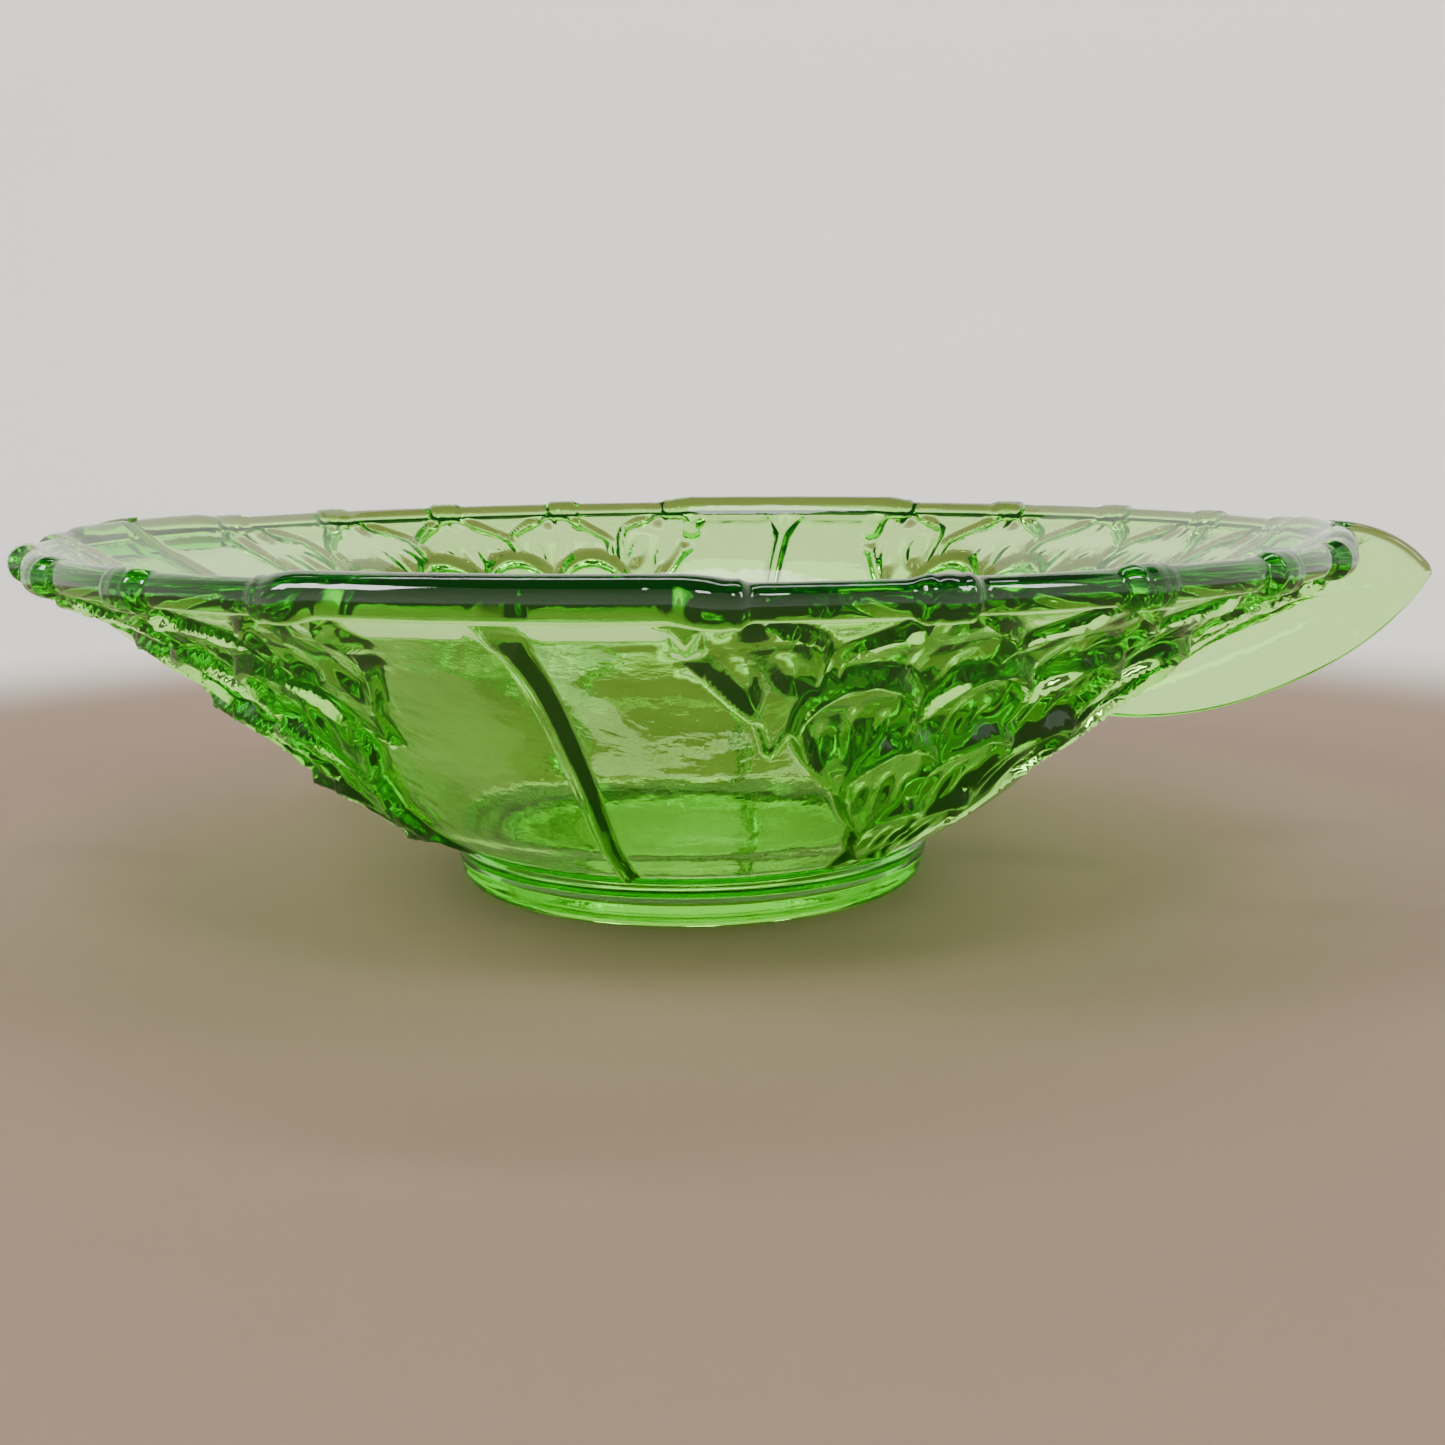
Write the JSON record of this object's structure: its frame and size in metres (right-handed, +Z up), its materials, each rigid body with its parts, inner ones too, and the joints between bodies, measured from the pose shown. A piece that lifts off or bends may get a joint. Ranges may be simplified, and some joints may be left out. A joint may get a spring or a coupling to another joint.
{
  "type": "uranium glass dish",
  "caption": "Round flared pressed glass dish on a low foot ring, with fish-scale relief panels, a beaded rim and plate handles.",
  "frame": {"origin": "centre of the foot's underside, on the surface the dish stands on", "axes": "+Z up along the bowl's axis; +X and -X towards the handles; -Y and +Y towards the ribbed plain panels"},
  "size_m": [0.26, 0.2336, 0.0665],
  "materials": {
    "green_glass": "clear yellow-green pressed glass, fire-polished, deep green where it is thick"
  },
  "bodies": {
    "root": {"foot_ring": "green_glass", "bowl_floor": "green_glass", "plain_panel_front": "green_glass", "plain_panel_right": "green_glass", "plain_panel_back": "green_glass", "plain_panel_left": "green_glass", "scale_panel_front_right": "green_glass", "scale_panel_back_right": "green_glass", "scale_panel_back_left": "green_glass", "scale_panel_front_left": "green_glass", "scale_arches_front_right": "green_glass", "scale_arches_back_right": "green_glass", "scale_arches_back_left": "green_glass", "scale_arches_front_left": "green_glass", "rim_plain_front": "green_glass", "rim_plain_right": "green_glass", "rim_plain_back": "green_glass", "rim_plain_left": "green_glass", "rim_bead_front_right": "green_glass", "rim_bead_back_right": "green_glass", "rim_bead_back_left": "green_glass", "rim_bead_front_left": "green_glass", "rib_front": "green_glass", "rib_back": "green_glass", "handle_right": "green_glass", "handle_left": "green_glass"}
  },
  "joints": []
}
